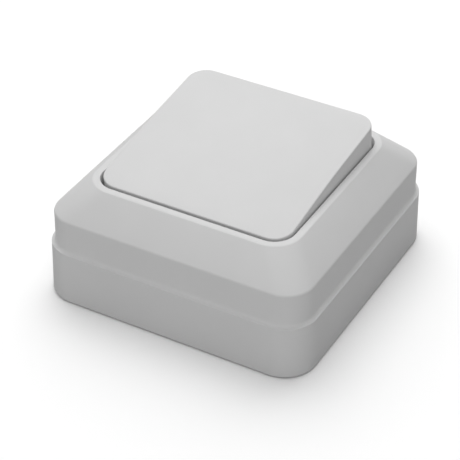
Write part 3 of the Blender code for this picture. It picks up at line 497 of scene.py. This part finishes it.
@dataclass
class Enclosure:
    """The base box on the wall and the cover that snaps and screws onto it."""

    outline: Square = (39.75, 9.25)
    foot: float = 0.25                   # how far the foot stands out per side
    foot_round: float = 0.2
    base_wall: float = 2.0
    floor: float = 2.0
    parting: float = 15.28               # height of the line between base and cover
    hairline: float = 0.02
    lip_top: float = 15.6
    lip_round: float = 0.18
    ledge: float = 1.1                   # outline to the foot of the band
    ledge_steps: int = 7
    band_draft: float = 0.05
    band_top: float = 25.5
    band_round: float = 0.47
    rim: Square = (30.9, 8.0)
    rim_top: float = 33.5
    rim_round: float = 0.3
    window: Square = (28.9, 6.1)
    window_round: float = 0.15
    cover_wall: float = 2.6
    cavity_bend: float = 25.02           # height where the cavity starts to narrow
    cavity_top: float = 30.85
    cavity_lap: float = 0.02             # how far the cavity's top runs into the well's wall
    well_wall: float = 1.5
    spigot_depth: float = 2.5
    flange_top: float = 22.06
    flange_thickness: float = 1.6
    flange_width: float = 8.2
    flange_corner: float = 3.0
    cover_screw_inset: float = 4.0       # window to the cover's screws
    cover_screw_length: float = 12.0
    screw_hole: float = 1.65             # radius
    screw_cone: float = 2.95             # radius at the flange's upper face
    screw_cone_depth: float = 1.3
    strap_drop: float = 2.9              # flange to the strap of the mechanism
    strap_seat: float = 1.15             # strap's upper face to the posts under it
    strap_screw_inset: float = 5.4       # cover's inner wall to the strap's screws
    strap_screw_length: float = 9.0
    post_radius: float = 3.6
    bore_radius: float = 1.8
    slot_inset: float = 7.75             # base's inner wall to a slot's middle
    slot_half: tuple[float, float] = (4.5, 2.1)
    slot_flat: float = 0.05              # half of the flat left at each end of a slot
    entry_inset: float = 16.75           # outline to the cable entry's middle
    entry_radius: float = 8.0
    entry_sides: int = 64

    @property
    def base_top(self) -> float:
        """Height of the base's upper edge."""
        return self.parting - self.hairline / 2

    @property
    def cover_bottom(self) -> float:
        """Height of the cover's lower edge."""
        return self.parting + self.hairline / 2

    @property
    def spigot_bottom(self) -> float:
        """Height of the lower end of the cover's tongue in the base."""
        return self.cover_bottom - self.spigot_depth

    @property
    def flange_under(self) -> float:
        """Height of the flange's lower face."""
        return self.flange_top - self.flange_thickness

    @property
    def cover_screw(self) -> float:
        """Place of a cover screw along X and along Y, to either side."""
        return self.window[0] - self.cover_screw_inset

    def posts(self) -> list[tuple[str, float, float, float, float]]:
        """The screw posts: name, place, height and height of the bore's end."""
        strap_top = self.flange_under - self.strap_drop
        strap_post = strap_top - self.strap_seat
        strap_bore = strap_top - self.strap_screw_length - CLEARANCE
        strap_x = self.outline[0] - self.ledge - self.cover_wall - self.strap_screw_inset
        cover_post = self.flange_under - CLEARANCE
        cover_bore = self.flange_top - self.cover_screw_length - CLEARANCE
        return [
            ("strap_right", strap_x, 0.0, strap_post, strap_bore),
            ("strap_left", -strap_x, 0.0, strap_post, strap_bore),
            ("cover_far", self.cover_screw, self.cover_screw, cover_post, cover_bore),
            ("cover_near", -self.cover_screw, -self.cover_screw, cover_post, cover_bore),
        ]

    def build_base(self) -> bpy.types.Object:
        """Model the open box with its screw posts and the holes in its back."""
        base = square_block("base_shell", self.outline, 0.0, self.base_top)
        spread = (self.outline[0] + self.foot) / self.outline[0]
        with editing(base):
            pick_points(base, lambda point: point.z < CLOSE)
            bpy.ops.transform.resize(value=(spread, spread, 1.0),
                                     center_override=(0.0, 0.0, 0.0))
        soften(base, level(0.0), self.foot_round, segments=4)
        hollow = square_block("base_inside", inward(self.outline, self.base_wall),
                              self.floor, self.base_top + OVERCUT)
        apply_tool(base, hollow, Join.CUT)
        for name, x, y, top, bottom in self.posts():
            apply_tool(base, rod(name, self.post_radius, self.floor / 2, top, x, y), Join.ADD)
            apply_tool(base, rod(name + "_bore", self.bore_radius, bottom, top + OVERCUT,
                                 x, y), Join.CUT)
        slot_y = self.outline[0] - self.base_wall - self.slot_inset
        for side in (-1, 1):
            slot = rounded_block("wall_slot", self.slot_half, -OVERCUT,
                                 self.floor + OVERCUT, self.slot_half[1] - self.slot_flat)
            slot.location.y = side * slot_y * MM
            apply_tool(base, settle(slot), Join.CUT)
        entry = self.outline[0] - self.entry_inset
        apply_tool(base, rod("cable_entry", self.entry_radius, -OVERCUT,
                             self.floor + OVERCUT, -entry, entry, self.entry_sides), Join.CUT)
        return base

    def ledge_profile(self) -> list[tuple[float, float]]:
        """Insets that make the concave fillet between the lip and the band."""
        angles = [math.pi / 2 * step / self.ledge_steps
                  for step in range(self.ledge_steps + 1)]
        places = [(self.ledge * math.sin(angle), self.ledge * (1 - math.cos(angle)))
                  for angle in angles]
        return [(after[0] - before[0], after[1] - before[1])
                for before, after in zip(places, places[1:])]

    def build_cavity(self) -> bpy.types.Object:
        """Model the space inside the cover, round the window's well."""
        wide = inward(self.outline, self.ledge + self.cover_wall)
        well = inward(self.window, -self.well_wall)
        cavity = square_block("cover_inside", wide, self.spigot_bottom - OVERCUT,
                              self.cavity_bend)
        draw_up(cavity, self.cavity_bend, self.cavity_top, wide,
                (well[0] - self.cavity_lap, well[1]))
        apply_tool(cavity, square_block("well", well, self.flange_under,
                                        self.rim_top + OVERCUT), Join.CUT)
        return cavity

    def cut_screw_holes(self, cover: bpy.types.Object) -> None:
        """Cut the two countersunk holes through the cover's flange."""
        for side in (-1, 1):
            place = side * self.cover_screw
            shank = rod("screw_hole", self.screw_hole, self.flange_under - OVERCUT,
                        self.flange_top + OVERCUT, place, place)
            cone = rod("screw_cone", self.screw_hole, self.flange_top - self.screw_cone_depth,
                       self.flange_top, place, place, top_radius=self.screw_cone)
            apply_tool(cover, shank, Join.CUT)
            apply_tool(cover, cone, Join.CUT)

    def on_window_edge(self, start: Vector, end: Vector) -> bool:
        """Whether an edge lies where the window meets the rim."""
        reach = self.window[0] + CLOSE
        return level(self.rim_top)(start, end) and all(
            max(abs(point.x), abs(point.y)) < reach for point in (start, end))

    def build_cover(self) -> bpy.types.Object:
        """Model the cover: lip, ledge, band, bevel, rim, well and flange."""
        cover = square_block("cover_shell", self.outline, self.cover_bottom, self.lip_top)
        top = grow_up(cover, self.lip_top, self.ledge_profile())
        top = grow_up(cover, top, [(self.band_draft, self.band_top - top)])
        draw_up(cover, top, self.rim_top, inward(self.outline, self.ledge + self.band_draft),
                self.rim)
        soften(cover, level(self.lip_top), self.lip_round, segments=3)
        soften(cover, level(self.band_top), self.band_round, segments=5)
        soften(cover, level(self.rim_top), self.rim_round, segments=3)
        spigot = square_block("spigot", inward(self.outline, self.base_wall + CLEARANCE),
                              self.spigot_bottom, self.lip_top)
        apply_tool(cover, spigot, Join.ADD)
        window = square_block("window", self.window, self.flange_top, self.rim_top + OVERCUT)
        apply_tool(cover, window, Join.CUT)
        hole = square_block("flange_hole",
                            (self.window[0] - self.flange_width, self.flange_corner),
                            self.spigot_bottom - OVERCUT, self.flange_top + OVERCUT)
        apply_tool(cover, hole, Join.CUT)
        apply_tool(cover, self.build_cavity(), Join.CUT)
        self.cut_screw_holes(cover)
        soften(cover, self.on_window_edge, self.window_round, segments=2)
        return cover


@dataclass
class Rocker:
    """The wide key, modelled level about its pivot and then turned to rest."""

    window: Square
    side_gap: float = 0.5                # key to window along the pivot
    end_gap: float = 1.4                 # key to window across the pivot
    pivot: float = 33.4
    tilt: float = 7.3                    # degrees
    under: float = 2.45                  # pivot to the key's underside at its crown
    plate: float = 1.8
    wall: float = 1.5
    skirt: float = 6.5                   # pivot to the skirt's lower edge
    roof: float = 1.6                    # degrees that each half falls from the crown
    crown: float = 6.0                   # half width of the soft crown
    crown_steps: int = 6
    edge_round: float = 0.35
    headroom: float = 3.0                # blank over the edge, for the roof to be cut from
    prong: float = 7.5
    prong_thickness: float = 1.2
    prong_width: float = 4.0
    hook: float = 0.5
    hook_height: float = 1.0
    hook_nose: float = 0.1               # how far the hook's lower edge still stands out
    catch: float = -1.6
    rib_half: float = 10.5
    rib_thickness: float = 1.2
    rib_low: float = 1.45

    @property
    def half(self) -> tuple[float, float]:
        """Half of the key's size along and across the pivot."""
        return self.window[0] - self.side_gap, self.window[0] - self.end_gap

    @property
    def corner(self) -> float:
        """Radius of the key's corners, seen from above."""
        return self.window[1] - self.side_gap

    @property
    def edge(self) -> float:
        """Height over the pivot of the key's top at its two ends."""
        return self.roof_height(self.half[1])

    def roof_height(self, y: float) -> float:
        """Height of the key's top over the pivot at a distance from its crown."""
        if abs(y) < self.crown:
            run = y * y / (2 * self.crown)
        else:
            run = abs(y) - self.crown / 2
        return self.under + self.plate - run * math.tan(math.radians(self.roof))

    def roof_block(self, below: float) -> bpy.types.Object:
        """Model the space under the key's top, lowered by some thickness."""
        reach = self.half[1] + OVERCUT
        side = self.half[0] + OVERCUT
        top = self.under + self.plate + self.headroom
        obj = block("roof", (-side, -reach, -self.skirt - 2 * OVERCUT), (side, reach, top))
        loops = [self.crown * step / self.crown_steps
                 for step in range(-self.crown_steps, self.crown_steps + 1)]
        with editing(obj):
            for y in loops:
                bpy.ops.mesh.select_all(action="SELECT")
                bpy.ops.mesh.bisect(plane_co=(0.0, y * MM, 0.0), plane_no=(0.0, 1.0, 0.0))
            for y in (-reach, *loops, reach):
                pick_points(obj, lambda point: abs(point.y - y) < CLOSE and point.z > 0.0)
                drop = self.roof_height(y) - below - top
                bpy.ops.transform.translate(value=(0.0, 0.0, drop * MM))
        return obj

    def prong_block(self, x: float, side: int) -> bpy.types.Object:
        """Model one clip prong with the hook that grips the carrier."""
        inner = self.prong - self.prong_thickness / 2
        outer = self.prong + self.prong_thickness / 2
        width = self.prong_width / 2
        foot = self.catch - self.hook_height
        near, far = sorted((side * inner, side * outer))
        obj = block("prong", (x - width, near, foot), (x + width, far, self.edge))
        with editing(obj):
            bpy.ops.mesh.select_all(action="SELECT")
            bpy.ops.mesh.bisect(plane_co=(0.0, 0.0, self.catch * MM),
                                plane_no=(0.0, 0.0, 1.0))
            pick_faces(obj, lambda middle, normal: normal.y * side > FACING
                       and middle.z < self.catch)
            bpy.ops.mesh.extrude_region_move(
                TRANSFORM_OT_translate={"value": (0.0, side * self.hook * MM, 0.0)})
            pick_points(obj, lambda point: point.z < foot + CLOSE
                        and abs(point.y) > outer + CLOSE)
            bpy.ops.transform.translate(
                value=(0.0, -side * (self.hook - self.hook_nose) * MM, 0.0))
        return obj

    def build_key(self) -> bpy.types.Object:
        """Model the key with its hollow, ribs and prongs, turned to rest."""
        tall = self.edge + self.headroom
        key = rounded_block("rocker_cap", self.half, -self.skirt, tall, self.corner)
        apply_tool(key, self.roof_block(0.0), Join.KEEP)
        soften(key, self.on_top_edge, self.edge_round, segments=3)
        inner = (self.half[0] - self.wall, self.half[1] - self.wall)
        hollow = rounded_block("hollow", inner, -self.skirt - OVERCUT, tall,
                               self.corner - self.wall)
        apply_tool(hollow, self.roof_block(self.plate), Join.KEEP)
        apply_tool(key, hollow, Join.CUT)
        rib_half_x = self.rib_thickness / 2
        for x in (-self.prong, self.prong):
            rib = block("rib", (x - rib_half_x, -self.rib_half, self.rib_low),
                        (x + rib_half_x, self.rib_half, self.edge))
            apply_tool(key, rib, Join.ADD)
            for side in (-1, 1):
                apply_tool(key, self.prong_block(x, side), Join.ADD)
        return self.turn_to_rest(key)

    def turn_to_rest(self, obj: bpy.types.Object) -> bpy.types.Object:
        """Turn a piece modelled level about the pivot to where it rests."""
        obj.rotation_euler.x = math.radians(self.tilt)
        obj.location.z = self.pivot * MM
        return settle(obj)

    def on_top_edge(self, start: Vector, end: Vector) -> bool:
        """Whether an edge lies on the outer edge of the key's top."""
        return all(self.on_outline(point) and abs(point.z - self.roof_height(point.y)) < CLOSE
                   for point in (start, end))

    def on_outline(self, point: Vector) -> bool:
        """Whether a point lies on the key's rounded outline."""
        over_x = abs(point.x) - (self.half[0] - self.corner)
        over_y = abs(point.y) - (self.half[1] - self.corner)
        if over_x > 0 and over_y > 0:
            return abs(math.hypot(over_x, over_y) - self.corner) < ROUND_CLOSE
        return over_x > self.corner - CLOSE or over_y > self.corner - CLOSE


@dataclass
class Spring:
    """The coil in the rocker's stem, which shortens as the plunger slides in."""

    rocker: Rocker
    radius: float = 1.4
    wire: float = 0.25                   # radius
    room: float = 5.0                    # closed end of the bore, at the pivot, to the plunger
    turns: int = 5
    steps: int = 16
    wire_sides: int = 8
    travel: float = 0.8                  # slide of the plunger

    def build(self) -> bpy.types.Object:
        """Model the coil by a circle carried round the stem, turned to rest."""
        low = CLEARANCE + self.wire - self.room
        high = -CLEARANCE - self.wire
        deselect()
        bpy.ops.mesh.primitive_circle_add(
            vertices=self.wire_sides, radius=self.wire * MM,
            location=(self.radius * MM, 0.0, low * MM), rotation=(math.pi / 2, 0.0, 0.0))
        coil = settle(bpy.context.object)
        coil.name = "plunger_coil"
        screw = coil.modifiers.new("coil", "SCREW")
        screw.angle = 2 * math.pi
        screw.screw_offset = (high - low) / self.turns * MM
        screw.iterations = self.turns
        screw.steps = screw.render_steps = self.steps
        bpy.ops.object.modifier_apply(modifier=screw.name)
        with editing(coil):
            bpy.ops.mesh.select_all(action="SELECT")
            bpy.ops.mesh.fill_holes(sides=0)
        return self.rocker.turn_to_rest(coil)

    def shorten(self, coil: bpy.types.Object) -> None:
        """Give the coil a mesh of its own; its length stays as modelled."""
        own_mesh(coil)


@dataclass
class Mechanism:
    """The CAD pieces inside the enclosure, which keep their shape."""

    finishes: dict[str, Finish] = field(default_factory=lambda: {
        "cover_screw_far": ZINC_TURNED,
        "cover_screw_near": ZINC_TURNED,
        "strap_screw_left": ZINC_TURNED,
        "strap_screw_right": ZINC_TURNED,
        "line_terminal_screw": ZINC_TURNED,
        "load_terminal_screw": ZINC_TURNED,
        "line_clamp_plate": ZINC,
        "load_clamp_plate": ZINC,
        "mounting_strap": ZINC,
        "line_terminal": BRASS,
        "load_terminal": BRASS,
        "fixed_contact_strip": BRASS,
        "pivot_contact_strip": BRASS,
        "rocking_contact": BRASS,
        "rivet_left": BRASS,
        "rivet_right": BRASS,
        "fixed_contact_tip": SILVER,
        "moving_contact_tip": SILVER,
        "mechanism_housing": PHENOLIC,
        "mechanism_cap": PHENOLIC,
        "plunger": PHENOLIC,
        "rocker_carrier": NYLON,
    })

    def dress(self, nodes: dict[str, bpy.types.Object]) -> None:
        """Give each CAD node the material of its finish.

        Args:
            nodes: The frame's CAD nodes by name.
        """
        made: dict[str, bpy.types.Material] = {}
        for name, finish in self.finishes.items():
            if finish.name not in made:
                made[finish.name] = finish.material()
            mesh = nodes[name].data
            mesh.materials.clear()
            mesh.materials.append(made[finish.name])
            LOG.info("%s: %s", name, finish.name)


# Light, ground and camera
def direction(azimuth: float, elevation: float) -> Vector:
    """Unit vector toward a direction in degrees, azimuth 0 at -Y and 90 at +X."""
    turn, rise = math.radians(azimuth), math.radians(elevation)
    return Vector((math.sin(turn) * math.cos(rise), -math.cos(turn) * math.cos(rise),
                   math.sin(rise)))


@dataclass
class Lamp:
    """One soft round area lamp, aimed at the object; lengths in metres."""

    name: str
    azimuth: float
    elevation: float
    distance: float
    size: float
    watts: float

    def place(self) -> None:
        """Add the lamp at its direction."""
        deselect()
        toward = direction(self.azimuth, self.elevation)
        bpy.ops.object.light_add(type="AREA", location=toward * self.distance)
        lamp = bpy.context.object
        lamp.name = self.name
        lamp.rotation_euler = toward.to_track_quat("Z", "Y").to_euler()
        lamp.data.shape = "DISK"
        lamp.data.size = self.size
        lamp.data.energy = self.watts


@dataclass
class Studio:
    """White ground, soft lamps and the camera at the photograph's angle.

    The camera looks from its direction at the target, which falls on the target
    pixel of a square picture with so many pixels to a side.
    """

    lamps: list[Lamp] = field(default_factory=lambda: [
        Lamp("key_behind", 200.0, 55.0, 1.2, 1.5, 8.2),
        Lamp("behind_left", 240.0, 60.0, 1.2, 1.5, 3.7),
        Lamp("overhead", 0.0, 90.0, 1.2, 1.5, 3.9),
        Lamp("fill_front", 0.0, 14.0, 1.2, 0.5, 2.3),
        Lamp("fill_corner", 45.0, 14.0, 1.2, 0.5, 1.9),
    ])
    ambient: float = 0.27
    ground_half: float = 4.0             # metres
    ground_gap: float = 0.4              # under the foot, for the thin dark contact line
    ground_seen: str = "#FFFFFF"
    ground_lit: str = "#BCBCBC"
    ground_roughness: float = 0.9
    azimuth: float = 28.73
    elevation: float = 37.26
    roll: float = 0.44
    distance: float = 0.5041             # metres
    focal_pixels: float = 1790.9
    frame_pixels: float = 460.0
    target: Place = (0.0, 0.0, 0.2)
    target_pixel: tuple[float, float] = (238.63, 257.33)
    sensor: float = 36.0
    clip: tuple[float, float] = (0.01, 50.0)

    def build_ground(self) -> None:
        """Lay the white ground, which keeps the object's soft shadow."""
        deselect()
        bpy.ops.mesh.primitive_plane_add(size=2 * self.ground_half,
                                         location=(0.0, 0.0, -self.ground_gap * MM))
        ground = bpy.context.object
        ground.name = "ground"
        material = bpy.data.materials.new("white_paper_ground")
        material.use_nodes = True
        tree = material.node_tree
        shader = tree.nodes["Principled BSDF"]
        shader.inputs["Roughness"].default_value = self.ground_roughness
        shader.inputs["Specular IOR Level"].default_value = 0.0
        rays = add_node(tree, "ShaderNodeLightPath")
        colour = add_node(tree, "ShaderNodeMix", {"data_type": "RGBA"}, {
            "Factor": rays.outputs["Is Camera Ray"], "A": linear(self.ground_lit),
            "B": linear(self.ground_seen)})
        tree.links.new(colour.outputs["Result"], shader.inputs["Base Color"])
        ground.data.materials.append(material)

    def build_world(self) -> None:
        """Make the world: white where it is seen, gentle where it lights."""
        world = bpy.data.worlds.new("studio")
        bpy.context.scene.world = world
        world.use_nodes = True
        tree = world.node_tree
        rays = add_node(tree, "ShaderNodeLightPath")
        seen = add_node(tree, "ShaderNodeMath", {"operation": "MAXIMUM"}, {
            0: rays.outputs["Is Camera Ray"], 1: rays.outputs["Is Glossy Ray"]})
        shown = add_node(tree, "ShaderNodeMath", {"operation": "MAXIMUM"}, {
            0: seen.outputs[0], 1: rays.outputs["Is Transmission Ray"]})
        strength = add_node(tree, "ShaderNodeMapRange", inputs={
            "Value": shown.outputs[0], "To Min": self.ambient, "To Max": 1.0})
        background = tree.nodes["Background"]
        background.inputs["Color"].default_value = linear("#FFFFFF")
        tree.links.new(strength.outputs["Result"], background.inputs["Strength"])

    def build_camera(self) -> None:
        """Place the camera as the photograph's perspective gives it."""
        deselect()
        back = direction(self.azimuth, self.elevation)
        right = Vector((0.0, 0.0, 1.0)).cross(back).normalized()
        up = back.cross(right)
        half = self.frame_pixels / 2
        yaw, pitch = (math.atan((pixel - half) / self.focal_pixels)
                      for pixel in self.target_pixel)
        frame = (Matrix((right, up, back)).transposed()
                 @ Matrix.Rotation(math.radians(self.roll), 3, "Z")
                 @ Matrix.Rotation(yaw, 3, "Y") @ Matrix.Rotation(pitch, 3, "X"))
        place = Vector(self.target) * MM + back * self.distance
        bpy.ops.object.camera_add(location=place, rotation=frame.to_euler())
        camera = bpy.context.object
        camera.data.sensor_width = self.sensor
        camera.data.lens = self.focal_pixels * self.sensor / self.frame_pixels
        camera.data.clip_start, camera.data.clip_end = self.clip
        bpy.context.scene.camera = camera

    def build(self) -> None:
        """Set up the ground, the lamps, the world and the camera."""
        self.build_ground()
        self.build_world()
        for lamp in self.lamps:
            lamp.place()
        self.build_camera()
        bpy.context.scene.view_settings.view_transform = "Standard"


def main() -> None:
    """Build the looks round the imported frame."""
    logging.basicConfig(level=logging.INFO, format="%(name)s: %(message)s")
    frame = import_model()
    plastic = LIGHT_ABS.material()
    enclosure = Enclosure()
    fit_piece(enclosure.build_base(), "switch_body", "base_box", plastic)
    fit_piece(enclosure.build_cover(), "switch_body", "cover_frame", plastic)
    rocker = Rocker(enclosure.window)
    fit_piece(rocker.build_key(), "rocker", "rocker_key", plastic)
    spring = Spring(rocker)
    coil = spring.build()
    fit_piece(coil, "rocker", "plunger_spring", SPRING_WIRE.material())
    spring.shorten(coil)
    Mechanism().dress(frame["nodes"])
    Studio().build()
    deselect()


if __name__ == "__main__":
    main()
